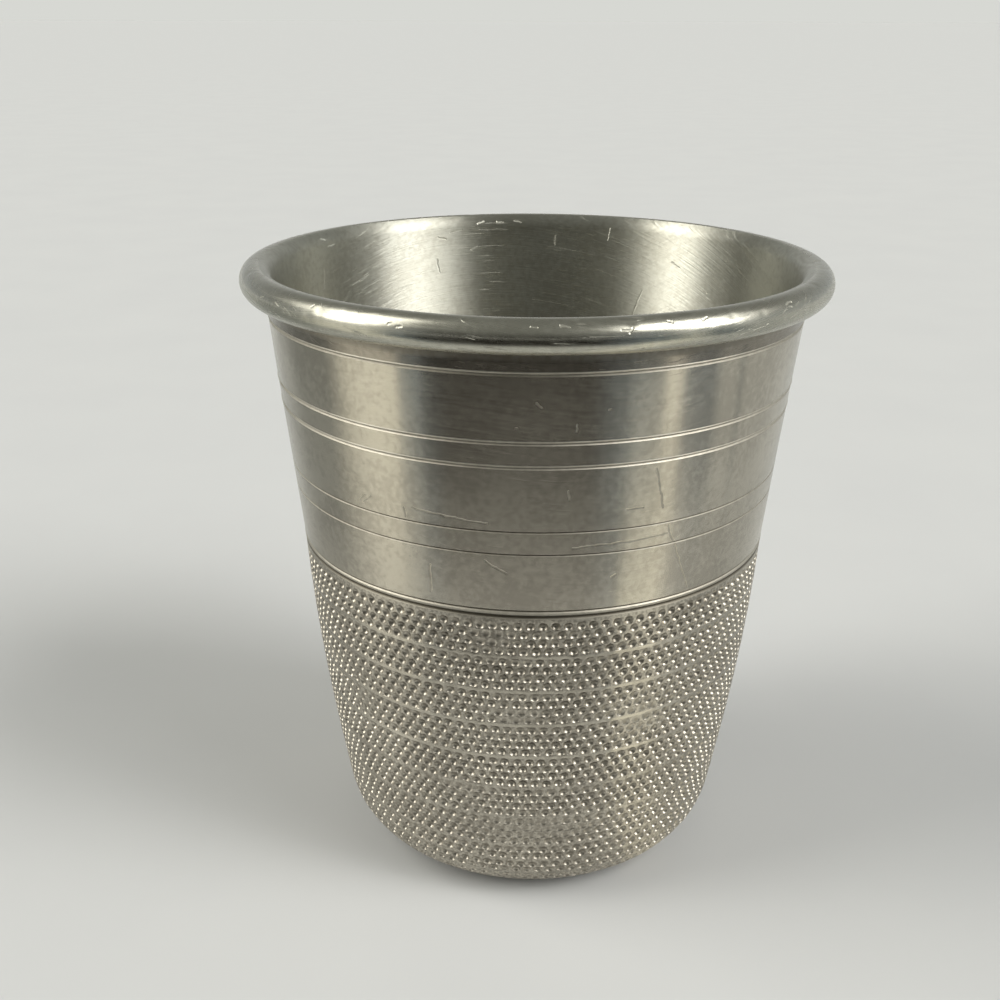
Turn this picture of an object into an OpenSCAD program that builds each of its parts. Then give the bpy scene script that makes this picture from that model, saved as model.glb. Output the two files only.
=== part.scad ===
// Pewter shot cup in the form of a thimble: a spun wall with a wired, rolled lip,
// scribed lines, a swelling lower zone and a base disc soldered into the turned-in foot.
// Millimetres, +Z up, the cup stands on Z = 0 and its axis is the Z axis.

/* [Cup] */
// Height from the foot to the top of the rolled lip
cup_h = 56.5; // [52:0.5:70]
// Outside diameter across the rolled lip
rim_d = 52; // [50:0.5:60]
// Thickness of the spun pewter
wall_t = 0.75; // [0.6:0.05:0.9]

/* [Rolled lip] */
// Outside diameter of the lip's roll
lip_d = 2.7; // [2.4:0.1:3.4]
// Play round the wire inside the roll
wire_play = 0.05; // [0.02:0.01:0.1]
// Gap where the edge of the roll closes on the wall
seam_gap = 0.12; // [0.05:0.01:0.25]

/* [Wall] */
// Outside diameter at the top of the lower zone
zone_d = 43.1; // [40:0.1:46]
// Outside diameter where the wall turns into the foot corner
turn_d = 37.2; // [32:0.1:40]
// How far the lower zone swells out past a straight taper
swell = 0.36; // [0:0.02:0.8]
// Outside radius of the foot corner
corner_r = 6.4; // [4:0.1:9]

/* [Scribed lines] */
// Drop from the middle of the roll to the first line
first_drop = 3.1; // [2.5:0.1:5]
// Plain band between one group of lines and the next
band_h = 5.5; // [4:0.1:6.5]
// Distance between the two lines of a pair
pair_gap = 2; // [1:0.1:3]
// Distance between the twin lines at the top of the lower zone
twin_gap = 0.5; // [0.4:0.05:0.9]
// Width of a line
line_w = 0.3; // [0.2:0.02:0.36]
// Depth of a line
line_depth = 0.1; // [0.05:0.01:0.2]

/* [Base] */
// Thickness of the base disc
disc_t = 0.8; // [0.5:0.05:1.5]
// Width of the turned-in foot edge that carries the disc
seat_w = 3; // [1.5:0.1:5]
// Play between the disc's edge and the solder
disc_play = 0.05; // [0.02:0.01:0.15]
// Width of solder lapping onto the disc
solder_lap = 1.2; // [0.6:0.1:2]
// Height that the solder climbs above the disc at the wall
solder_climb = 1; // [0.5:0.1:2]
// Thickness of the solder at its inner edge
solder_edge = 0.15; // [0.1:0.05:0.3]
// Play between the solder and the wall
solder_play = 0.03; // [0.01:0.01:0.1]

/* [Hidden] */

PEWTER = "#9c9a92";
WIRE = "#a9a8a4";
SOLDER = "#8b8982";
TURN_FN = 180;
ARC_FN = 96;
ZONE_STEPS = 12;
CORNER_STEPS = 16;

// Rolled lip: centre of the roll, and the wall that runs up into its inner side
lip_r = lip_d / 2;
lip_z = cup_h - lip_r;
lip_ring_r = rim_d / 2 - lip_r;
neck_r = rim_d / 2 - lip_d + wall_t;
wire_r = lip_r - wall_t - wire_play;

// Lines, counted down from the roll: one, a pair, a pair, and the twin over the lower zone
line_1 = lip_z - first_drop;
line_2 = line_1 - band_h;
line_3 = line_2 - pair_gap;
line_4 = line_3 - band_h;
line_5 = line_4 - pair_gap;
zone_h = line_5 - band_h;
line_heights = [line_1, line_2, line_3, line_4, line_5, zone_h + twin_gap, zone_h];

// Lower zone: a taper with a shallow swell between the foot corner and the twin line
zone_r = zone_d / 2;
turn_r = turn_d / 2;
function zone_u(z) = (z - corner_r) / (zone_h - corner_r);
function zone_radius(z) = turn_r + (zone_r - turn_r) * zone_u(z) + 4 * swell * zone_u(z) * (1 - zone_u(z));
function zone_lean(z) =
    atan((zone_r - turn_r + 4 * swell * (1 - 2 * zone_u(z))) / (zone_h - corner_r));
function upper_radius(z) = zone_r + (neck_r - zone_r) * (z - zone_h) / (lip_z - zone_h);
function wall_radius(z) = z > zone_h ? upper_radius(z) : zone_radius(z);
zone_heights = [for (i = [0 : ZONE_STEPS]) corner_r + (zone_h - corner_r) * i / ZONE_STEPS];

// Foot corner: an arc that leaves the wall at its own lean and lands flat on the foot
foot_lean = zone_lean(corner_r);
foot_r = turn_r - corner_r / cos(foot_lean);
corner_angles = [for (i = [0 : CORNER_STEPS]) 90 - (90 - foot_lean) * i / CORNER_STEPS];
turn_in_r = corner_r - wall_t;
seat_r = foot_r - seat_w;

// Base: the disc lies on the turned-in edge, the solder fills the wedge round it
disc_r = foot_r - disc_play;
disc_top = wall_t + disc_t;
solder_top = disc_top + solder_climb;
solder_top_r = foot_r + sqrt(turn_in_r ^ 2 - (corner_r - solder_top) ^ 2);

// Points a distance in from the outer face: along the lower zone, and round the foot corner
function zone_point(z, depth) =
    [zone_radius(z) - depth * cos(zone_lean(z)), z + depth * sin(zone_lean(z))];
function corner_point(angle, depth) =
    [foot_r + (corner_r - depth) * cos(angle), corner_r - (corner_r - depth) * sin(angle)];

// Half section of the wall, from the turned-in foot edge up the outside and back down the inside
module wall_profile() {
    outer_corner = [for (a = corner_angles) corner_point(a, 0)];
    outer_zone = [for (z = zone_heights) zone_point(z, 0)];
    inner_zone = [for (i = [ZONE_STEPS : -1 : 0]) zone_point(zone_heights[i], wall_t)];
    inner_corner = [for (i = [CORNER_STEPS : -1 : 0]) corner_point(corner_angles[i], wall_t)];
    polygon(concat(
        [[seat_r, 0]], outer_corner, outer_zone, [[neck_r, lip_z]],
        [[neck_r - wall_t, lip_z]], inner_zone, inner_corner, [[seat_r, wall_t]]));
}

module roll_profile() {
    difference() {
        translate([lip_ring_r, lip_z]) difference() {
            circle(r = lip_r, $fn = ARC_FN);
            circle(r = lip_r - wall_t, $fn = ARC_FN);
        }
        low_z = lip_z - lip_d;
        polygon([[0, lip_z], [neck_r + seam_gap, lip_z], [upper_radius(low_z) + seam_gap, low_z], [0, low_z]]);
    }
}

// A V whose mouth is line_w wide at the wall's face and line_depth deep
module line_cut(z) {
    face_r = wall_radius(z);
    polygon([
        [face_r - line_depth, z], [face_r + line_depth, z + line_w], [face_r + line_depth, z - line_w]]);
}

module cup_wall() {
    color(PEWTER) rotate_extrude($fn = TURN_FN) {
        difference() {
            wall_profile();
            for (z = line_heights) line_cut(z);
        }
        roll_profile();
    }
}

module rim_wire() {
    color(WIRE) rotate_extrude($fn = TURN_FN) translate([lip_ring_r, lip_z]) circle(r = wire_r, $fn = ARC_FN);
}

module base_disc() {
    color(PEWTER) translate([0, 0, wall_t]) cylinder(r = disc_r, h = disc_t, $fn = TURN_FN);
}

module base_solder() {
    color(SOLDER) rotate_extrude($fn = TURN_FN) intersection() {
        translate([foot_r, corner_r]) circle(r = turn_in_r - solder_play, $fn = ARC_FN);
        polygon([
            [disc_r - solder_lap, disc_top], [disc_r + disc_play, disc_top], [disc_r + disc_play, 0],
            [foot_r + corner_r, 0], [foot_r + corner_r, solder_top], [solder_top_r, solder_top],
            [disc_r - solder_lap, disc_top + solder_edge]]);
    }
}

cup_wall();
rim_wire();
base_disc();
base_solder();
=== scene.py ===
"""Pewter shot cup in the form of a thimble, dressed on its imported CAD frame.

The spun wall is drawn again as one mesh, with its rolled-in dimples, scribed lines and
wired lip. The wire, the base disc and the solder stay as packed and get their finish here.
"""

import math

import bpy
import numpy as np
from mathutils import Matrix, Vector


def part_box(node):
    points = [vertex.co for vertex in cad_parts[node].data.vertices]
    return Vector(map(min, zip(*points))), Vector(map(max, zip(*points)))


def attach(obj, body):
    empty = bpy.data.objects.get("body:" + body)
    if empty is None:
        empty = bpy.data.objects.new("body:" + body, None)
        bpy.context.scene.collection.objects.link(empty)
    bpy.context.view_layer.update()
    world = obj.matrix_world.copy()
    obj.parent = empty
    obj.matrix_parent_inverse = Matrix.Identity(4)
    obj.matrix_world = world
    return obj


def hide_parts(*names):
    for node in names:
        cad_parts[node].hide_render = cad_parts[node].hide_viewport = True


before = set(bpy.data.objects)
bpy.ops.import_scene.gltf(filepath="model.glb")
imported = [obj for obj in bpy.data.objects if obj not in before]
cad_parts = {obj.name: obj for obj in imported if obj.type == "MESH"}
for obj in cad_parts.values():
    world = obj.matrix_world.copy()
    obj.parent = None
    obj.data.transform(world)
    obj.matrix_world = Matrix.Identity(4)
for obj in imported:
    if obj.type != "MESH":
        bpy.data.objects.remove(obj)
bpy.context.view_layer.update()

MM = 0.001

# Sizes of the spun wall in millimetres, as in the CAD source
WALL_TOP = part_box("cup_wall")[1]
CUP_H = WALL_TOP.z / MM
RIM_R = WALL_TOP.x / MM
WALL_T = 0.75
LIP_R = 1.35
SEAM_GAP = 0.12
ZONE_R = 21.55
TURN_R = 18.6
SWELL = 0.36
CORNER_R = 6.4
FIRST_DROP = 3.1
BAND_H = 5.5
PAIR_GAP = 2.0
TWIN_GAP = 0.5
SEAT_W = 3.0

LIP_Z = CUP_H - LIP_R
LIP_RING_R = RIM_R - LIP_R
NECK_R = RIM_R - 2 * LIP_R + WALL_T
LINE_1 = LIP_Z - FIRST_DROP
LINE_2 = LINE_1 - BAND_H
LINE_3 = LINE_2 - PAIR_GAP
LINE_4 = LINE_3 - BAND_H
LINE_5 = LINE_4 - PAIR_GAP
ZONE_H = LINE_5 - BAND_H

# Cut of a scribed line, from its upper edge down: rise above the line, out from the face, oxide and
# painted shade.
# The upper lines keep the burr that the point threw up, the lower ones are worn to a fine dark cut.
BURR_CUT = (
    (0.24, 0.0, 0.0), (0.17, 0.04, 0.0), (0.09, 0.0, 0.3), (0.02, -0.11, 1.0), (-0.01, -0.11, 0.5),
    (-0.13, 0.0, 0.0),
)
FINE_CUT = (
    (0.07, 0.0, 0.0), (0.01, -0.1, 1.0), (-0.03, -0.1, 1.0), (-0.11, 0.0, 0.2),
)
# Cut of the twin line: a fine line, the ridge that it leaves, and a heavier line below
TWIN_CUT = (
    (TWIN_GAP - 0.05, 0.0, 0.0), (TWIN_GAP - 0.15, -0.1, 1.0), (TWIN_GAP - 0.2, -0.1, 1.0),
    (TWIN_GAP - 0.32, 0.03, 0.0), (0.02, 0.03, 0.0), (-0.15, -0.15, 1.0), (-0.25, -0.15, 1.0),
    (-0.38, 0.0, 0.8),
)
SCRIBED = (
    (LINE_1, BURR_CUT),
    (LINE_2, BURR_CUT),
    (LINE_3, BURR_CUT),
    (LINE_4, FINE_CUT),
    (LINE_5, FINE_CUT),
    (ZONE_H, TWIN_CUT),
)
# Sound metal right beside a cut, which keeps its edge crisp
CUT_EDGE = 0.03

# Knurling wheel: four staggered rows of round pits in a pass, one pass below the other
PIT_PITCH = 1.025
PIT_ROW = 0.788
PIT_R = 0.42
PIT_DEPTH = 0.285
PIT_LEAN = 0.27
PASS_ROWS = 4
CORNER_ROWS = 2
PASS_GAP = 0.28
PASS_RIDGE = 0.012
FIRST_PIT = 1.1
# A full pass may run this far on past the foot of the straight wall, into the corner
PASS_OVERRUN = 1.0
# Ridges between passes are rubbed bright above this height
BRIGHT_RIDGE_H = 16.0

# How unevenly the wheel presses: from row to row, in slow waves round the cup, from pit to pit
ROW_PRESS = (0.8, 1.0)
PRESS_WAVE = 0.12
PIT_PRESS = (0.76, 1.1)
PIT_SIZES = (0.94, 1.03)
PIT_STRAY_ROUND = 0.02
PIT_STRAY_DOWN = 0.015
# Below this height the pits get shallower, down to this share of their depth
FOOT_FADE_H = 2.0
FOOT_FADE = 0.3

# Rings of one pit, a bowl with a crisp rim whose floor lies low: share of its radius and of its depth
PIT_RINGS = ((1.07, 0.0), (1.0, 0.02), (0.95, 0.17), (0.55, 0.8), (0.27, 0.97))
PIT_SIDES = 8

# The brushing of the inside runs on over the roll of the lip as far as this angle round it
ROLL_POLISH = math.radians(105)
# The roll's edge closes on the wall this share of the roll's radius below its middle
SEAM_DROP = 0.9

# Small knocks on the lip besides the ones that are placed
STRAY_KNOCKS = 46

# Slow waves of the wall's radius: size in mm, waves round the cup, shift with height, start
WANDER = ((0.05, 2, 0.0, 0.8), (0.03, 3, 0.11, 0.0), (0.02, 5, -0.19, 1.3))
# The wall stays true this far from the roll's middle and the foot, and the waves ease in from there
TRUE_LIP = 2.0
TRUE_FOOT = 3.0
WANDER_EASE = 6.0

# Fineness of the mesh, how far its rings keep from the cuts below and above them, the bend that
# stays a sharp edge, and the start of the random draws
WALL_COLUMNS = 264
LIP_COLUMNS = 528
LIP_STEPS = 44
HOLE_STEPS = 14
INNER_STEPS = 16
RING_STEP = 0.7
CLEAR_BELOW = 0.2
CLEAR_ABOVE = 0.3
SHARP_BEND = math.radians(40)
SEED = 56

# Foot: plain metal past the last pits, and the bevel of the turned-in edge
FOOT_CLEAR = 0.2
FOOT_LAND = 0.25
SEAT_BEVEL = 0.12

# Finishes of the wall, in the order of its material slots
BURNISHED, SCRIBE, DIMPLED, LIP, INSIDE, FOOT, NECK = range(7)


# Section of the wall
def zone_share(height):
    return (height - CORNER_R) / (ZONE_H - CORNER_R)


def zone_radius(height):
    share = zone_share(height)
    return TURN_R + (ZONE_R - TURN_R) * share + 4 * SWELL * share * (1 - share)


def zone_lean(height):
    rise = ZONE_R - TURN_R + 4 * SWELL * (1 - 2 * zone_share(height))
    return np.arctan(rise / (ZONE_H - CORNER_R))


def upper_radius(height):
    return ZONE_R + (NECK_R - ZONE_R) * (height - ZONE_H) / (LIP_Z - ZONE_H)


def face_radius(height):
    return upper_radius(height) if height > ZONE_H else zone_radius(height)


FOOT_LEAN = zone_lean(CORNER_R)
FOOT_R = TURN_R - CORNER_R / math.cos(FOOT_LEAN)
SEAT_R = FOOT_R - SEAT_W


def lower_section(samples=400):
    """Outer face from the twin line down to the flat of the foot: run along it, radius, height."""
    heights = np.linspace(ZONE_H, CORNER_R, samples)
    turns = np.linspace(FOOT_LEAN, math.pi / 2, samples)[1:]
    radius = np.concatenate([zone_radius(heights), FOOT_R + CORNER_R * np.cos(turns)])
    height = np.concatenate([heights, CORNER_R - CORNER_R * np.sin(turns)])
    steps = np.hypot(np.diff(radius), np.diff(height))
    return np.concatenate([[0.0], np.cumsum(steps)]), radius, height


LOWER_RUN, LOWER_RADIUS, LOWER_HEIGHT = lower_section()
ZONE_RUN = float(np.interp(-CORNER_R, -LOWER_HEIGHT, LOWER_RUN))
WHOLE_RUN = float(LOWER_RUN[-1])


def on_lower(run, sink=0.0):
    """Radius and height at a run down the outer face, sunk below it along its normal."""
    step = 0.02
    run = np.clip(run, 0.0, WHOLE_RUN)
    ahead = np.clip(run + step, 0.0, WHOLE_RUN)
    behind = np.clip(run - step, 0.0, WHOLE_RUN)
    along_r = np.interp(ahead, LOWER_RUN, LOWER_RADIUS) - np.interp(behind, LOWER_RUN, LOWER_RADIUS)
    along_z = np.interp(ahead, LOWER_RUN, LOWER_HEIGHT) - np.interp(behind, LOWER_RUN, LOWER_HEIGHT)
    length = np.hypot(along_r, along_z)
    radius = np.interp(run, LOWER_RUN, LOWER_RADIUS) + sink * along_z / length
    height = np.interp(run, LOWER_RUN, LOWER_HEIGHT) - sink * along_r / length
    return radius, height


class Shell:
    """A skin of rings round the Z axis, joined one to the next along the cup's section."""

    def __init__(self):
        self.points = []
        self.pits = []
        self.faces = []
        self.finishes = []
        self.total = 0
        self.last = None

    def put(self, radius, turn, height, pit=0.0):
        """Adds points by radius, turn and height and returns their numbers."""
        radius, turn, height, pit = np.broadcast_arrays(radius, turn, height, pit)
        rows = np.stack([radius * np.cos(turn), radius * np.sin(turn), height], -1)
        self.points.append(rows.reshape(-1, 3))
        self.pits.append(pit.reshape(-1))
        numbers = self.total + np.arange(turn.size).reshape(turn.shape)
        self.total += turn.size
        return numbers

    def face(self, corners, finish):
        self.faces.append(corners)
        self.finishes.append(finish)

    def join(self, upper, lower, finish):
        """Joins two rings whose counts may differ: quads if they match, else a zip of triangles."""
        upper, lower = upper.tolist(), lower.tolist()
        n, m = len(upper), len(lower)
        if n == m:
            for i in range(n):
                j = (i + 1) % n
                self.face((upper[i], lower[i], lower[j], upper[j]), finish)
            return
        i = j = 0
        while i < n or j < m:
            if j == m or (i < n and (i + 1) * m <= (j + 1) * n):
                self.face((upper[i % n], lower[j % m], upper[(i + 1) % n]), finish)
                i += 1
            else:
                self.face((upper[i % n], lower[j % m], lower[(j + 1) % m]), finish)
                j += 1

    def ring(self, radius, height, finish, columns=WALL_COLUMNS, pit=0.0):
        turn = 2 * math.pi * np.arange(columns) / columns
        made = self.put(radius, turn, height, pit)
        if self.last is not None:
            self.join(self.last, made, finish)
        self.last = made
        return made


def scribe(shell, height, profile):
    """One scribed line, from sound metal above it to sound metal below."""
    first, last = profile[0][0], profile[-1][0]
    above = NECK if height == LINE_1 else BURNISHED
    top = height + first + CUT_EDGE
    shell.ring(face_radius(top), top, above)
    for rise, out, oxide_and_painted_shade in profile:
        at = height + rise
        shell.ring(face_radius(at) + out, at, above if rise == first else SCRIBE, pit=oxide_and_painted_shade)
    bottom = height + last - CUT_EDGE
    shell.ring(face_radius(bottom), bottom, BURNISHED)


def wear(turn, height):
    """How much of a pit's depth handling has left, 0 to 1, at a turn from the front in degrees."""
    left = np.ones_like(turn)
    for at_turn, at_height, wide, tall, loss in (
        (-9, 29.5, 6, 1.3, 0.7),
        (-4, 21.5, 6, 1.3, 0.6),
        (27, 20.5, 8, 2.6, 0.75),
        (3, 9.0, 22, 2.2, 0.6),
        (-46, 19.5, 5, 2.5, 0.5),
        (-20, 13.0, 7, 1.5, 0.4),
        (150, 18.0, 25, 6.0, 0.5),
        (-120, 12.0, 20, 5.0, 0.5),
    ):
        apart = (turn - at_turn + 180) % 360 - 180
        left = left * (1 - loss * np.exp(-((apart / wide) ** 2) - ((height - at_height) / tall) ** 2))
    return left


def front_degrees(turn):
    """Turn about the axis as degrees from the front of the cup, to the right."""
    return (np.degrees(turn) + 90 + 180) % 360 - 180


def roll_pass(shell, start, rows, rng, finish):
    """One pass of the knurling wheel: rows of pits, each row half a pitch on from the last.

    The finish is that of the low ridge between this pass and the metal above.
    """
    middle = on_lower(start + rows * PIT_ROW / 2)[0]
    count = round(2 * math.pi * float(middle) / PIT_PITCH)
    half = math.pi / count
    phase = rng.uniform(0, 2 * half)
    edges = []
    for row in range(rows + 1):
        raised = PASS_RIDGE if row in (0, rows) else 0.0
        radius, height = on_lower(start + row * PIT_ROW, -raised)
        edges.append(shell.put(radius, phase + half * np.arange(2 * count), height))
    shell.join(shell.last, edges[0], finish)
    for row in range(rows):
        shift = row % 2
        centre = phase + half * (2 * np.arange(count) + 1 + shift)
        run = start + (row + 0.5) * PIT_ROW
        centre = centre + rng.normal(0, PIT_STRAY_ROUND, count) / on_lower(run)[0]
        runs = run + rng.normal(0, PIT_STRAY_DOWN, count)
        size = PIT_R * rng.uniform(*PIT_SIZES, count)
        height = on_lower(run)[1]
        wave = PRESS_WAVE * np.sin(3 * centre + start) * np.sin(5 * centre + 2.3 * run)
        press = rng.uniform(*ROW_PRESS) + wave
        depth = PIT_DEPTH * press * rng.uniform(*PIT_PRESS, count) * wear(front_degrees(centre), height)
        depth = depth * np.clip(height / FOOT_FADE_H, FOOT_FADE, 1.0)
        around = 2 * math.pi * np.arange(PIT_SIDES) / PIT_SIDES
        rings = []
        for reach, sunk in PIT_RINGS:
            drop = PIT_LEAN * (1 - min(reach, 1.0)) + reach * np.sin(around)
            down = runs[:, None] + size[:, None] * drop
            radius, z = on_lower(down, (depth * sunk)[:, None])
            turn = centre[:, None] + (size * reach)[:, None] * np.cos(around) / radius
            rings.append(shell.put(radius, turn, z, sunk))
        radius, z = on_lower(runs + PIT_LEAN * size, depth)
        floor_point = shell.put(radius, centre, z, 1.0)
        sew_pits(shell, edges[row], edges[row + 1], rings, floor_point, shift)
    shell.last = edges[-1]


def sew_pits(shell, above, below, rings, floor_point, shift):
    """Faces of one row of pits, from the edges that the pits share to the floor of each."""
    above, below = above.tolist(), below.tolist()
    rings = [ring.tolist() for ring in rings]
    floor_point = floor_point.tolist()
    n = len(above)
    for i, middle in enumerate(floor_point):
        k = 2 * i + shift
        top_0, top_1, top_2 = above[k % n], above[(k + 1) % n], above[(k + 2) % n]
        low_0, low_1, low_2 = below[k % n], below[(k + 1) % n], below[(k + 2) % n]
        e, se, s, sw, w, nw, north, ne = rings[0][i]
        land = (
            (top_0, low_0, w), (low_0, sw, w), (low_0, low_1, s, sw), (low_1, low_2, se, s),
            (low_2, e, se), (low_2, top_2, e), (top_2, ne, e), (top_2, top_1, north, ne),
            (top_1, top_0, nw, north), (top_0, w, nw),
        )
        for corners in land:
            shell.face(corners, DIMPLED)
        for outer, inner in zip(rings, rings[1:]):
            a, b = outer[i], inner[i]
            for q in range(PIT_SIDES):
                p = (q + 1) % PIT_SIDES
                shell.face((a[q], b[q], b[p], a[p]), DIMPLED)
        b = rings[-1][i]
        for q in range(PIT_SIDES):
            shell.face((b[q], middle, b[(q + 1) % PIT_SIDES]), DIMPLED)


def lip_knocks(rng):
    """Small knocks on the lip: turn from the front, angle round the roll, reach and depth in mm."""
    knocks = [
        (-1, 62, 0.55, 0.05), (15, 50, 0.6, 0.05), (62, 70, 0.5, 0.04), (-70, 60, 0.6, 0.05),
        (-33, 35, 0.5, 0.04), (-27, 48, 0.4, 0.03), (34, 40, 0.45, 0.04), (41, 28, 0.4, 0.04),
        (165, 60, 0.7, 0.05), (196, 75, 0.6, 0.05), (205, 40, 0.5, 0.04),
    ]
    for _ in range(STRAY_KNOCKS):
        place = rng.uniform(-180, 180), rng.uniform(0, 120)
        knocks.append((*place, rng.uniform(0.3, 0.7), rng.uniform(0.012, 0.035)))
    return knocks


def roll_lip(shell, rng):
    """The rolled lip from the inner side over the top to its edge, then back along the wire's hole."""
    turn = 2 * math.pi * np.arange(LIP_COLUMNS) / LIP_COLUMNS
    knocks = lip_knocks(rng)
    edge_drop = SEAM_DROP * LIP_R
    edge_r = upper_radius(LIP_Z - edge_drop) + SEAM_GAP
    edge_angle = -math.pi + math.acos((LIP_RING_R - edge_r) / LIP_R)
    for i in range(1, LIP_STEPS + 1):
        angle = math.pi + (edge_angle - math.pi) * i / LIP_STEPS
        sink = np.zeros(LIP_COLUMNS)
        for at_turn, at_angle, reach, depth in knocks:
            across = LIP_RING_R * np.radians((front_degrees(turn) - at_turn + 180) % 360 - 180)
            along = LIP_R * (angle - math.radians(at_angle))
            sink += depth * np.exp(-(across ** 2 + along ** 2) / (reach / 2) ** 2)
        radius = LIP_RING_R + (LIP_R - sink) * math.cos(angle)
        height = LIP_Z + (LIP_R - sink) * math.sin(angle)
        shell.ring(radius, height, INSIDE if angle > ROLL_POLISH else LIP, LIP_COLUMNS)
    hole_r = LIP_R - WALL_T
    hole_edge_r = NECK_R + SEAM_GAP
    first = -math.pi + math.acos((LIP_RING_R - hole_edge_r) / hole_r)
    # The hole round the wire is coloured like a pit's floor: oxide and painted shade inside the roll
    for i in range(HOLE_STEPS):
        angle = first + (math.pi - first) * i / HOLE_STEPS
        shell.ring(
            LIP_RING_R + hole_r * math.cos(angle), LIP_Z + hole_r * math.sin(angle), LIP, pit=1.0)


def settle(points):
    """Soft pewter is never quite true: a slow wander of the wall's radius, none at lip and foot."""
    turn = np.arctan2(points[:, 1], points[:, 0])
    height = points[:, 2]
    below_lip = np.clip((LIP_Z - TRUE_LIP - height) / WANDER_EASE, 0, 1)
    free = below_lip * np.clip((height - TRUE_FOOT) / WANDER_EASE, 0, 1)
    wander = sum(
        size * np.sin(waves * turn + rise * height + start) for size, waves, rise, start in WANDER)
    radius = np.hypot(points[:, 0], points[:, 1])
    grown = 1 + free * wander / np.maximum(radius, 1.0)
    return np.column_stack([points[:, 0] * grown, points[:, 1] * grown, height])


def draw_upper_wall(shell):
    """The plain wall from under the roll down to the dimples, with its scribed lines."""
    at = LIP_Z - LIP_R
    shell.ring(upper_radius(at), at, LIP, pit=0.6)
    for height, profile in SCRIBED:
        gap = at - height
        steps = max(2, round(gap / RING_STEP))
        for i in range(1, steps):
            z = at - gap * i / steps
            if z - height > profile[0][0] + CLEAR_BELOW and at - z > CLEAR_ABOVE:
                shell.ring(upper_radius(z), z, NECK if z > LINE_1 else BURNISHED)
        scribe(shell, height, profile)
        at = height


def roll_dimples(shell, rng):
    """All passes of the knurling wheel, down the lower wall and round the foot corner."""
    run = FIRST_PIT - PIT_ROW / 2
    finish = DIMPLED
    while run + CORNER_ROWS * PIT_ROW < WHOLE_RUN - FOOT_CLEAR:
        rows = PASS_ROWS if run + PASS_ROWS * PIT_ROW < ZONE_RUN + PASS_OVERRUN else CORNER_ROWS
        roll_pass(shell, run, rows, rng, finish)
        run += rows * PIT_ROW + PASS_GAP
        finish = BURNISHED if on_lower(run)[1] > BRIGHT_RIDGE_H else DIMPLED


def turn_foot(shell):
    """The flat of the foot and the turned-in edge that carries the base disc."""
    radius, height = on_lower(WHOLE_RUN - FOOT_LAND)
    shell.ring(radius, height, FOOT)
    shell.ring(FOOT_R, 0.0, FOOT)
    shell.ring(SEAT_R + SEAT_BEVEL, 0.0, FOOT)
    shell.ring(SEAT_R, SEAT_BEVEL, FOOT)
    shell.ring(SEAT_R, WALL_T, FOOT)


def draw_inside(shell):
    """The inner face from the turned-in edge up to the lip, one wall thickness in from the outer."""
    reach = CORNER_R - WALL_T
    for i in range(INNER_STEPS + 1):
        angle = math.pi / 2 + (FOOT_LEAN - math.pi / 2) * i / INNER_STEPS
        shell.ring(FOOT_R + reach * math.cos(angle), CORNER_R - reach * math.sin(angle), INSIDE)
    for i in range(1, INNER_STEPS + 1):
        z = CORNER_R + (ZONE_H - CORNER_R) * i / INNER_STEPS
        lean = zone_lean(z)
        shell.ring(zone_radius(z) - WALL_T * math.cos(lean), z + WALL_T * math.sin(lean), INSIDE)
    from_z = ZONE_H + WALL_T * math.sin(zone_lean(ZONE_H))
    from_r = ZONE_R - WALL_T * math.cos(zone_lean(ZONE_H))
    for i in range(1, INNER_STEPS + 1):
        share = i / INNER_STEPS
        radius = from_r + (NECK_R - WALL_T - from_r) * share
        shell.ring(radius, from_z + (LIP_Z - from_z) * share, INSIDE)


def spin_wall():
    """The whole wall as one closed skin."""
    rng = np.random.default_rng(SEED)
    shell = Shell()
    # The wall starts dark inside the roll: oxide and painted shade where the roll covers it
    first = shell.ring(NECK_R, LIP_Z, LIP, pit=1.0)
    draw_upper_wall(shell)
    roll_dimples(shell, rng)
    turn_foot(shell)
    draw_inside(shell)
    roll_lip(shell, rng)
    shell.join(shell.last, first, LIP)
    mesh = bpy.data.meshes.new("cup_body")
    points = settle(np.concatenate(shell.points)) * MM
    mesh.from_pydata(points.tolist(), [], shell.faces)
    mesh.polygons.foreach_set("material_index", shell.finishes)
    pit = mesh.attributes.new("pit", "FLOAT", "POINT")
    pit.data.foreach_set("value", np.concatenate(shell.pits).astype(np.float32))
    mesh.shade_smooth()
    mesh.set_sharp_from_angle(angle=SHARP_BEND)
    mesh.validate()
    body = bpy.data.objects.new("cup_body", mesh)
    bpy.context.scene.collection.objects.link(body)
    return body


# Radius in mm at which the degrees of a mark are measured off along the wall
MARK_R = 23.0
# A mark runs unevenly by this many mm over this length, and fades from its middle to its edge
MARK_SHAKE = 0.35
MARK_SHAKE_MM = 0.9
MARK_MIDDLE = 0.03
MARK_EDGE = 0.1
# Scratches and nicks of use, each from one place to another: degrees from the front, mm above the foot
WALL_MARKS = (
    ((-38.5, 39.8), (-36.8, 40.4)),
    ((-37.5, 39.7), (-35.1, 40.4)),
    ((-26.8, 40.2), (-26.6, 39.4)),
    ((-24.9, 40.3), (-9.0, 39.7)),
    ((-21.7, 35.4), (-22.0, 32.9)),
    ((-9.5, 36.4), (-5.2, 35.3)),
    ((6.9, 42.6), (7.2, 41.9)),
    ((19.0, 40.8), (22.5, 40.7)),
    ((16.8, 34.8), (17.8, 35.0)),
    ((8.5, 37.7), (29.0, 38.0)),
    ((28.9, 38.7), (36.4, 32.3)),
    ((24.5, 44.0), (25.9, 42.4)),
    ((25.9, 42.4), (27.1, 40.4)),
    ((0.6, 49.8), (1.5, 49.5)),
    ((8.0, 47.6), (8.1, 48.1)),
    ((13.9, 49.2), (14.1, 49.2)),
    ((-3.1, 47.9), (-2.9, 47.9)),
)
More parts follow.
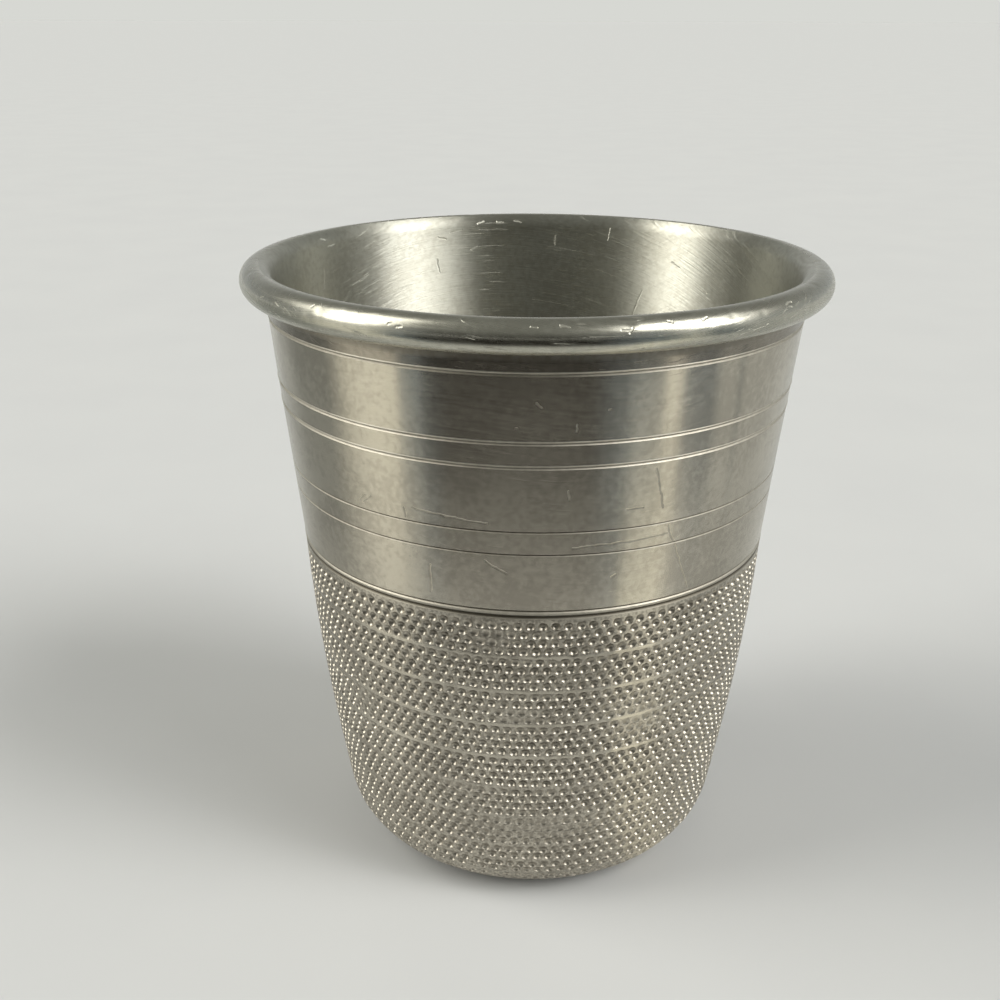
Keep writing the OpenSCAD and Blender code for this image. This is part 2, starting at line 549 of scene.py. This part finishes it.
LIP_MARKS = (
    ((-56.5, 55.6), (-55.5, 55.7)),
    ((-50.4, 55.6), (-49.2, 55.5)),
    ((-40.6, 55.9), (-40.0, 56.1)),
    ((-24.0, 55.7), (-23.2, 55.8)),
    ((-22.3, 55.6), (-21.5, 55.7)),
    ((-0.5, 56.1), (0.3, 56.0)),
    ((4.0, 56.1), (5.4, 56.1)),
    ((13.6, 55.8), (15.2, 55.8)),
    ((15.0, 55.6), (15.6, 55.9)),
    ((21.6, 56.1), (22.6, 56.0)),
    ((28.0, 56.0), (29.0, 56.1)),
    ((47.6, 56.0), (49.4, 56.1)),
    ((48.2, 55.8), (48.8, 55.8)),
    ((17.4, 54.3), (17.7, 54.2)),
)
INNER_MARKS = (
    ((-153.2, 52.3), (-153.4, 50.9)),
    ((-157.0, 54.9), (-160.3, 55.2)),
    ((-164.7, 55.7), (-166.4, 55.9)),
    ((-169.8, 55.9), (-171.4, 55.8)),
    ((-162.8, 53.0), (-164.5, 53.4)),
    ((-153.6, 54.5), (-155.8, 54.3)),
    ((-116.8, 55.9), (-118.2, 55.8)),
    ((-118.8, 55.2), (-121.1, 55.2)),
    ((-174.5, 55.9), (-176.1, 55.7)),
    ((174.7, 54.5), (175.1, 53.4)),
    ((160.4, 55.4), (161.0, 54.2)),
    ((-116.0, 53.0), (-115.0, 51.4)),
    ((142.1, 52.6), (139.8, 52.2)),
    ((130.0, 50.1), (129.8, 50.1)),
    ((150.1, 49.3), (152.4, 46.6)),
)


# Materials
def linear(hexed):
    """An sRGB hex colour as linear red, green, blue and alpha."""
    parts = [int(hexed[i:i + 2], 16) / 255 for i in (1, 3, 5)]
    return [c / 12.92 if c <= 0.04045 else ((c + 0.055) / 1.055) ** 2.4 for c in parts] + [1.0]


def per_metre(size_mm):
    """Texture scale at which one feature is that many millimetres wide."""
    return 1 / (size_mm * MM)


def add(tree, kind, inputs=None, **settings):
    """Adds a node with its settings; an input is a value or the socket that feeds it."""
    made = tree.nodes.new(kind)
    for name, value in settings.items():
        setattr(made, name, value)
    for name, value in (inputs or {}).items():
        if isinstance(value, bpy.types.NodeSocket):
            tree.links.new(value, made.inputs[name])
        else:
            made.inputs[name].default_value = value
    return made


def new_material(name):
    material = bpy.data.materials.new(name)
    material.use_nodes = True
    material.node_tree.nodes.clear()
    return material, material.node_tree


def scored(tree, turn, place, marks):
    """1 along each mark and 0 off it."""
    arc = add(tree, "ShaderNodeMath", {0: turn, 1: MARK_R}, operation="MULTIPLY")
    up = add(tree, "ShaderNodeSeparateXYZ", {0: place}).outputs["Z"]
    tall = add(tree, "ShaderNodeMath", {0: up, 1: 1 / MM}, operation="MULTIPLY")
    flat = add(tree, "ShaderNodeCombineXYZ", {0: arc.outputs[0], 1: tall.outputs[0]})
    shake = add(tree, "ShaderNodeTexNoise", {
        "Vector": place, "Scale": per_metre(MARK_SHAKE_MM), "Detail": 2.0})
    shift = add(tree, "ShaderNodeVectorMath", {
        0: shake.outputs["Color"], 1: (MARK_SHAKE, MARK_SHAKE, 0.0), 2: flat.outputs[0]},
        operation="MULTIPLY_ADD")
    found = None
    for (from_turn, from_up), (to_turn, to_up) in marks:
        start = Vector((
            MARK_R * math.radians(from_turn) + MARK_SHAKE / 2, from_up + MARK_SHAKE / 2, 0.0))
        way = Vector((MARK_R * math.radians(to_turn - from_turn), to_up - from_up, 0.0))
        apart = add(tree, "ShaderNodeVectorMath", {0: shift.outputs[0], 1: start}, operation="SUBTRACT")
        along = add(tree, "ShaderNodeVectorMath", {
            0: apart.outputs[0], 1: way / way.length_squared}, operation="DOT_PRODUCT")
        held = add(tree, "ShaderNodeClamp", {"Value": along.outputs["Value"]})
        near = add(tree, "ShaderNodeVectorMath", {0: way, "Scale": held.outputs[0]}, operation="SCALE")
        off = add(tree, "ShaderNodeVectorMath", {
            0: apart.outputs[0], 1: near.outputs[0]}, operation="DISTANCE")
        line = add(tree, "ShaderNodeMapRange", {
            "Value": off.outputs["Value"], "From Min": MARK_MIDDLE, "From Max": MARK_EDGE,
            "To Min": 1.0, "To Max": 0.0})
        if found is None:
            found = line
        else:
            found = add(tree, "ShaderNodeMath", {
                0: found.outputs[0], 1: line.outputs[0]}, operation="MAXIMUM")
    return found.outputs[0]


# Real sizes in millimetres: length of a polishing hairline, a brush stroke, a dull blotch
HAIR_LENGTH_MM = 6.0
STROKE_MM = (4.0, 3.5, 0.13)
BLOTCH_MM = 7.0
# Lean of the brush strokes, in radians, and the heights of their noise between which one shows
STROKE_LEAN = (0.42, 0.1, 0.0)
STROKE_SHOWS = (0.68, 0.74)
# Waves of the hairlines in one turn round the cup, and the range that their noise spans
HAIR_WAVES = 5.0
HAIR_SPAN = (0.3, 0.7)
# Oxide and painted shade darken below this share of a pit's depth, and polish ends at one part in this
# many of it
OXIDE_AND_SHADE_FROM = 0.65
POLISH_ENDS = 4.0


def pewter(name, clean, dull, rough, hair_mm=0.14, hair_bump=0.0006, grain_mm=0.5, grain_bump=0.001,
           stretch=0.0, wander=0.8, slant=0.0, scuff=0.8, bite=0.004, sunk="#6f695d", sunk_rough=0.45,
           cloud=1.0, mottling=0.2, marks=()):
    """Cast and spun tin alloy: a soft grey metal that dulls in blotches and takes fine marks.

    Lathe polishing leaves hairlines round the cup, so reflections smear up and down it, and the
    grain of the casting makes their edges uneven. Oxide and painted shade darken pits and scribed lines.
    """
    material, tree = new_material(name)
    place = add(tree, "ShaderNodeTexCoord").outputs["Object"]
    parts = add(tree, "ShaderNodeSeparateXYZ", {0: place})
    ahead = add(tree, "ShaderNodeMath", {0: parts.outputs["Y"], 1: -1.0}, operation="MULTIPLY")
    turn = add(tree, "ShaderNodeMath", {0: parts.outputs["X"], 1: ahead.outputs[0]}, operation="ARCTAN2")
    # The hairlines wander up and down a little on their way round, as a hand-held pad leaves them
    swing = add(tree, "ShaderNodeMath", {0: turn.outputs[0], 1: HAIR_WAVES}, operation="MULTIPLY")
    wave = add(tree, "ShaderNodeMath", {0: swing.outputs[0]}, operation="SINE")
    lift = add(tree, "ShaderNodeMath", {
        0: wave.outputs[0], 1: wander * MM, 2: parts.outputs["Z"]}, operation="MULTIPLY_ADD")
    brushed = add(tree, "ShaderNodeCombineXYZ", {
        0: parts.outputs["X"], 1: parts.outputs["Y"], 2: lift.outputs[0]})
    long = per_metre(HAIR_LENGTH_MM)
    ringed = add(tree, "ShaderNodeMapping", {
        "Vector": brushed.outputs[0], "Scale": (long, long, per_metre(hair_mm))})
    hair = add(tree, "ShaderNodeTexNoise", {"Vector": ringed.outputs[0], "Scale": 1.0, "Detail": 2.0})
    grain = add(tree, "ShaderNodeTexNoise", {
        "Vector": place, "Scale": per_metre(grain_mm), "Detail": 3.0})
    tilted = add(tree, "ShaderNodeMapping", {
        "Vector": place, "Rotation": STROKE_LEAN, "Scale": [size * MM for size in STROKE_MM]},
        vector_type="TEXTURE")
    scratch = add(tree, "ShaderNodeTexNoise", {
        "Vector": tilted.outputs[0], "Scale": 1.0, "Detail": 1.0, "Distortion": 0.6})
    thin = add(tree, "ShaderNodeMapRange", {
        "Value": scratch.outputs[0], "From Min": STROKE_SHOWS[0], "From Max": STROKE_SHOWS[1],
        "To Max": scuff},
        interpolation_type="SMOOTHSTEP")
    if marks:
        score = scored(tree, turn.outputs[0], place, marks)
        thin = add(tree, "ShaderNodeMath", {0: thin.outputs[0], 1: score}, operation="MAXIMUM")
    blotch = add(tree, "ShaderNodeTexNoise", {
        "Vector": place, "Scale": per_metre(BLOTCH_MM), "Detail": 4.0})
    mottle = add(tree, "ShaderNodeMath", {
        0: blotch.outputs[0], 1: cloud, 2: grain.outputs[0]}, operation="MULTIPLY_ADD")
    middle = 0.5 + 0.5 * cloud
    patch = add(tree, "ShaderNodeMapRange", {
        "Value": mottle.outputs[0], "From Min": middle - mottling, "From Max": middle + mottling},
        interpolation_type="SMOOTHSTEP")
    tone = add(tree, "ShaderNodeMix", {
        "Factor": patch.outputs[0], 6: linear(clean), 7: linear(dull)}, data_type="RGBA")
    pit = add(tree, "ShaderNodeAttribute", attribute_name="pit").outputs["Fac"]
    # Oxide and painted shade: the deep parts of pits, cuts and the roll take the darker sunk colour
    oxide_and_painted_shade = add(tree, "ShaderNodeMapRange", {
        "Value": pit, "From Min": OXIDE_AND_SHADE_FROM, "From Max": 1.0}, interpolation_type="SMOOTHSTEP")
    stained_and_shaded = add(tree, "ShaderNodeMix", {
        "Factor": oxide_and_painted_shade.outputs[0], 6: tone.outputs[2], 7: linear(sunk)}, data_type="RGBA")
    low, high = rough
    worn = add(tree, "ShaderNodeMapRange", {
        "Value": hair.outputs[0], "From Min": HAIR_SPAN[0], "From Max": HAIR_SPAN[1],
        "To Min": low, "To Max": high})
    deep = add(tree, "ShaderNodeMath", {0: pit, 1: POLISH_ENDS}, operation="MULTIPLY", use_clamp=True)
    bare = add(tree, "ShaderNodeMath", {0: deep.outputs[0], 1: thin.outputs[0]}, operation="MAXIMUM")
    pressed = add(tree, "ShaderNodeMix", {0: bare.outputs[0], 2: worn.outputs[0], 3: sunk_rough})
    smear = add(tree, "ShaderNodeMath", {
        0: bare.outputs[0], 1: -stretch, 2: stretch}, operation="MULTIPLY_ADD")
    combed = add(tree, "ShaderNodeMath", {0: hair.outputs[0], 1: hair_bump}, operation="MULTIPLY")
    grained = add(tree, "ShaderNodeMath", {
        0: grain.outputs[0], 1: grain_bump, 2: combed.outputs[0]}, operation="MULTIPLY_ADD")
    stroked = add(tree, "ShaderNodeMath", {
        0: scratch.outputs[0], 1: slant, 2: grained.outputs[0]}, operation="MULTIPLY_ADD")
    cut = add(tree, "ShaderNodeMath", {
        0: thin.outputs[0], 1: -bite, 2: stroked.outputs[0]}, operation="MULTIPLY_ADD")
    relief = add(tree, "ShaderNodeBump", {"Height": cut.outputs[0], "Distance": MM, "Strength": 1.0})
    turning = add(tree, "ShaderNodeTangent", direction_type="RADIAL", axis="Z")
    shader = add(tree, "ShaderNodeBsdfPrincipled", {
        "Base Color": stained_and_shaded.outputs[2], "Metallic": 1.0, "Roughness": pressed.outputs[0],
        "Anisotropic": smear.outputs[0], "Anisotropic Rotation": 0.25, "Normal": relief.outputs[0],
        "Tangent": turning.outputs[0]})
    add(tree, "ShaderNodeOutputMaterial", {"Surface": shader.outputs[0]})
    return material


def pale_floor():
    """Matte painted board, near white, with a faint mottle."""
    mottle_mm = 25.0
    material, tree = new_material("matte_painted_board")
    place = add(tree, "ShaderNodeTexCoord").outputs["Object"]
    mottle = add(tree, "ShaderNodeTexNoise", {
        "Vector": place, "Scale": per_metre(mottle_mm), "Detail": 5.0})
    colour = add(tree, "ShaderNodeMix", {
        "Factor": mottle.outputs[0], 6: linear("#cdcecf"), 7: linear("#d3d4d4")}, data_type="RGBA")
    shader = add(tree, "ShaderNodeBsdfPrincipled", {
        "Base Color": colour.outputs[2], "Roughness": 0.9, "Specular IOR Level": 0.0})
    add(tree, "ShaderNodeOutputMaterial", {"Surface": shader.outputs[0]})
    return material


# The cup, with its finishes in the order of the wall's material slots
cup_body = spin_wall()
for finish in (
    # Burnished on the lathe: a soft mirror, with its reflections smeared up and down
    pewter("burnished_pewter", "#c5bfb1", "#b3ada0", (0.2, 0.24), hair_bump=0.0003, grain_bump=0.0015,
           stretch=1.0, scuff=0.14, bite=0.011, marks=WALL_MARKS),
    # Cut by a point: bare soft metal that catches the light, grey with oxide and painted shade in the
    # cut
    pewter("scribed_pewter", "#bfbaae", "#b2ada1", (0.44, 0.5), sunk="#5f5a50", sunk_rough=0.5),
    # Rolled with a knurling wheel: grainy land, and dull pits that each hold a glint, their floors a
    # little darker with oxide and painted shade
    pewter("dimpled_pewter", "#c4beb1", "#9a9489", (0.36, 0.44), grain_mm=0.25, grain_bump=0.008,
           stretch=0.6, sunk="#999388", sunk_rough=0.39, cloud=0.3, mottling=0.15),
    # Rubbed bright by use on the roll of the lip, with nicks
    pewter("lip_pewter", "#bfbdb1", "#b3b1a5", (0.24, 0.31), hair_bump=0.0012, stretch=0.3, scuff=1.0,
           bite=0.025, marks=LIP_MARKS),
    # Brushed by hand inside: broad soft strips of light, broken by slanting strokes; its colour is set
    # lighter than the outer metal's, painted light for the shaded inside
    pewter("brushed_pewter", "#cfcec3", "#c2c0b4", (0.4, 0.48), hair_mm=0.22, hair_bump=0.006,
           stretch=1.0, wander=2.5, slant=0.025, scuff=0.35, bite=0.015, marks=INNER_MARKS),
    # Scuffed matte where the cup stands
    pewter("scuffed_foot_pewter", "#aaa498", "#918b7f", (0.38, 0.5), hair_mm=0.3, hair_bump=0.003),
    # Painted shade under the roll: the neck band is given a darker colour than the burnished wall
    pewter("painted_shade_neck_pewter", "#9d978c", "#8f897e", (0.22, 0.27), hair_bump=0.0003, stretch=1.0),
):
    cup_body.data.materials.append(finish)
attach(cup_body, "root")
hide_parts("cup_wall")

# Drawn wire is smooth, the turned disc shows fine rings, and solder sets with a lumpy skin
for node_name, finish in (
    ("rim_wire", pewter("drawn_pewter_wire", "#bdb8ac", "#aaa59a", (0.28, 0.4), stretch=0.3)),
    ("base_disc", pewter("turned_pewter", "#bab4a7", "#a69f92", (0.3, 0.42), hair_mm=0.3,
                         hair_bump=0.002, stretch=0.6)),
    ("base_solder", pewter("soft_solder", "#a7a298", "#928d83", (0.32, 0.48), grain_mm=1.2,
                           grain_bump=0.02)),
):
    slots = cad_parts[node_name].data.materials
    slots.clear()
    slots.append(finish)

# Floor: a round board, its radius in metres, that reaches past the edge of every view
FLOOR_R = 30
bpy.ops.mesh.primitive_circle_add(vertices=96, radius=FLOOR_R, fill_type="NGON")
floor = bpy.context.object
floor.name = "floor"
floor.data.materials.append(pale_floor())


# Soft lamps at both sides of the camera, stacked so that each side lights the wall low and high
def soft_lamp(name, side_deg, up_deg, strength, spread_deg, colour):
    data = bpy.data.lights.new(name, "SUN")
    data.energy = strength
    data.angle = math.radians(spread_deg)
    data.color = linear(colour)[:3]
    lamp = bpy.data.objects.new(name, data)
    side, up = math.radians(side_deg), math.radians(up_deg)
    towards = Vector((math.sin(side) * math.cos(up), -math.cos(side) * math.cos(up), math.sin(up)))
    lamp.rotation_mode = "QUATERNION"
    lamp.rotation_quaternion = towards.to_track_quat("Z", "Y")
    bpy.context.scene.collection.objects.link(lamp)


# Degrees to the right of straight behind the camera, degrees up, strength, spread in degrees
for lamp_name, side_turn, lift, strength, width in (
    ("left_low", -75, 20, 0.65, 24),
    ("left_middle", -75, 36, 0.65, 24),
    ("left_high", -90, 52, 0.5, 24),
    ("left_back", -100, 34, 0.22, 24),
    ("right_low", 70, 24, 0.9, 24),
    ("right_high", 70, 46, 0.75, 24),
    ("right_front", 55, 40, 0.6, 24),
    ("right_back", 90, 36, 0.18, 30),
):
    soft_lamp(lamp_name, side_turn, lift, strength, width, "#fffefa" if side_turn > 0 else "#fffdf5")

# Tones round the cup, each with the share of the floor that a card of the same tone covers there; on the
# card they are painted shade and painted light
DARK = ("#24211d", 1.0)
SLATE = ("#5f7080", 0.9)
COOL = ("#55626e", 1.0)
GREY = ("#929595", 0.95)
PALE = ("#babebf", 0.35)
LIGHT = ("#f1efe6", 1.0)
BACK = ("#e2e3e0", 0.3)
# Plain tones: overhead, the painted wash of light on the card, and the backdrop that the camera sees
OVERHEAD = "#8b8c87"
WASH = "#fffdf4"
BACKDROP = "#d7d8d3"

# Which tone stands where round the cup, in degrees to the right from straight behind the camera
ROOM = (
    (-180, BACK), (-145, PALE), (-115, GREY), (-92, GREY), (-80, LIGHT), (-55.5, LIGHT), (-53, SLATE),
    (-46, SLATE), (-42, DARK), (24, DARK), (42, SLATE), (51, COOL), (54, LIGHT), (58.5, LIGHT),
    (62, COOL), (75, COOL), (81, PALE), (89, PALE), (91, COOL), (93, PALE), (145, PALE), (180, BACK),
)
# Sine of the angle up at which these tones have given way to the one overhead
OVERHEAD_RISE = 0.6

# Card of painted shade and light on the floor: its radius and lift in metres, then reaches from the axis
# in millimetres over which its tones are drawn in by up to a factor near the cup, and over which it
# fades in
CARD_R = 0.8
CARD_LIFT = 0.5 * MM
CARD_DRAWN = (60, 110)
CARD_DRAW_IN = 1.4
CARD_FADE = (57, 88)
# Painted wash of light on the card at the right: degrees where it comes in and goes out, reaches in mm
# where it ends
WASH_IN = (45, 51)
WASH_OUT = (73, 85)
WASH_END = (84, 104)


def room_tone(tree, place, draw_in=1.0):
    """Tones round the cup at a place or direction about the axis, and the angle they are read at.

    All of it is drawn in towards the middle by a factor, fixed or from a socket.
    """
    parts = add(tree, "ShaderNodeSeparateXYZ", {0: place})
    ahead = add(tree, "ShaderNodeMath", {0: parts.outputs["Y"], 1: -1.0}, operation="MULTIPLY")
    turn = add(tree, "ShaderNodeMath", {0: parts.outputs["X"], 1: ahead.outputs[0]}, operation="ARCTAN2")
    drawn = add(tree, "ShaderNodeMath", {0: turn.outputs[0], 1: draw_in}, operation="MULTIPLY")
    share = add(tree, "ShaderNodeMapRange", {
        "Value": drawn.outputs[0], "From Min": -math.pi, "From Max": math.pi})
    ramp = add(tree, "ShaderNodeValToRGB", {"Fac": share.outputs[0]})
    stops = ramp.color_ramp.elements
    while len(stops) < len(ROOM):
        stops.new(1.0)
    for stop, (turn_deg, (colour, cover)) in zip(stops, ROOM):
        stop.position = (turn_deg + 180) / 360
        stop.color = linear(colour)[:3] + [cover]
    return ramp, drawn.outputs[0]


def paint_reflection_card():
    """A card on the floor painted with shade and light in the same tones, seen only in the metal as
    painted reflections; it fades out near the cup.
    """
    material, tree = new_material("painted_reflection_card")
    place = add(tree, "ShaderNodeTexCoord").outputs["Object"]
    reach = add(tree, "ShaderNodeVectorMath", {0: place}, operation="LENGTH").outputs["Value"]
    draw_in = add(tree, "ShaderNodeMapRange", {
        "Value": reach, "From Min": CARD_DRAWN[0] * MM, "From Max": CARD_DRAWN[1] * MM,
        "To Min": CARD_DRAW_IN, "To Max": 1.0})
    tone, drawn = room_tone(tree, place, draw_in.outputs[0])
    far = add(tree, "ShaderNodeMapRange", {
        "Value": reach, "From Min": CARD_FADE[0] * MM, "From Max": CARD_FADE[1] * MM},
        interpolation_type="SMOOTHSTEP")
    shown = add(tree, "ShaderNodeMath", {
        0: far.outputs[0], 1: tone.outputs["Alpha"]}, operation="MULTIPLY")
    # A painted pool of light: the right-hand light's spread on the floor near the cup is painted on the
    # card
    wash = add(tree, "ShaderNodeMapRange", {
        "Value": drawn, "From Min": math.radians(WASH_IN[0]), "From Max": math.radians(WASH_IN[1])},
        interpolation_type="SMOOTHSTEP")
    for value, start, end in (
        (drawn, math.radians(WASH_OUT[0]), math.radians(WASH_OUT[1])),
        (reach, WASH_END[0] * MM, WASH_END[1] * MM),
    ):
        falloff = add(tree, "ShaderNodeMapRange", {
            "Value": value, "From Min": start, "From Max": end, "To Min": 1.0, "To Max": 0.0},
            interpolation_type="SMOOTHSTEP")
        wash = add(tree, "ShaderNodeMath", {
            0: wash.outputs[0], 1: falloff.outputs[0]}, operation="MULTIPLY")
    paint = add(tree, "ShaderNodeMix", {
        "Factor": wash.outputs[0], 6: tone.outputs["Color"], 7: linear(WASH)}, data_type="RGBA")
    cover = add(tree, "ShaderNodeMath", {
        0: shown.outputs[0], 1: wash.outputs[0]}, operation="MAXIMUM")
    clear = add(tree, "ShaderNodeBsdfTransparent")
    card_paint = add(tree, "ShaderNodeBsdfDiffuse", {"Color": paint.outputs[2]})
    mixed = add(tree, "ShaderNodeMixShader", {
        0: cover.outputs[0], 1: clear.outputs[0], 2: card_paint.outputs[0]})
    add(tree, "ShaderNodeOutputMaterial", {"Surface": mixed.outputs[0]})
    bpy.ops.mesh.primitive_circle_add(
        vertices=64, radius=CARD_R, fill_type="NGON", location=(0, 0, CARD_LIFT))
    card = bpy.context.object
    card.name = "painted_reflection_card"
    card.data.materials.append(material)
    card.visible_camera = False
    card.visible_diffuse = False
    card.visible_shadow = False


paint_reflection_card()

# World in the same tones, as the metal sees it
world = bpy.data.worlds.new("studio")
world.use_nodes = True
world.node_tree.nodes.clear()
sky = world.node_tree
look = add(sky, "ShaderNodeTexCoord").outputs["Generated"]
rise = add(sky, "ShaderNodeSeparateXYZ", {0: look}).outputs["Z"]
above = add(sky, "ShaderNodeMapRange", {"Value": rise, "From Min": 0.0, "From Max": OVERHEAD_RISE})
room = add(sky, "ShaderNodeMix", {
    "Factor": above.outputs[0], 6: room_tone(sky, look)[0].outputs["Color"], 7: linear(OVERHEAD)},
    data_type="RGBA")
# The camera sees the floor's own tone past its edge, so no horizon shows
seen = add(sky, "ShaderNodeLightPath").outputs["Is Camera Ray"]
backdrop = add(sky, "ShaderNodeMix", {
    "Factor": seen, 6: room.outputs[2], 7: linear(BACKDROP)}, data_type="RGBA")
back = add(sky, "ShaderNodeBackground", {"Color": backdrop.outputs[2], "Strength": 1.0})
add(sky, "ShaderNodeOutputWorld", {"Surface": back.outputs[0]})
bpy.context.scene.world = world

# Camera close to the cup, looking down on the rim
CAMERA_AT = Vector((0.0, -109.51, 76.12)) * MM
CAMERA_PITCH = 0.375
CAMERA_YAW = 0.0284
CAMERA_ROLL = 0.0027
CAMERA_LENS = 44.11
camera_data = bpy.data.cameras.new("camera")
camera_data.lens = CAMERA_LENS
camera_data.sensor_width = 36.0
camera_data.clip_start = 0.005
camera_data.clip_end = 100.0
camera = bpy.data.objects.new("camera", camera_data)
across = Vector((math.cos(CAMERA_YAW), math.sin(CAMERA_YAW), 0.0))
facing = Vector((-math.sin(CAMERA_YAW), math.cos(CAMERA_YAW), 0.0)) * math.cos(CAMERA_PITCH)
facing.z = -math.sin(CAMERA_PITCH)
upright = across.cross(facing)
right = across * math.cos(CAMERA_ROLL) + upright * math.sin(CAMERA_ROLL)
upward = upright * math.cos(CAMERA_ROLL) - across * math.sin(CAMERA_ROLL)
turned = Matrix((right, upward, -facing)).transposed().to_4x4()
camera.matrix_world = Matrix.Translation(CAMERA_AT) @ turned
bpy.context.scene.collection.objects.link(camera)
bpy.context.scene.camera = camera

bpy.context.scene.view_settings.view_transform = "Standard"
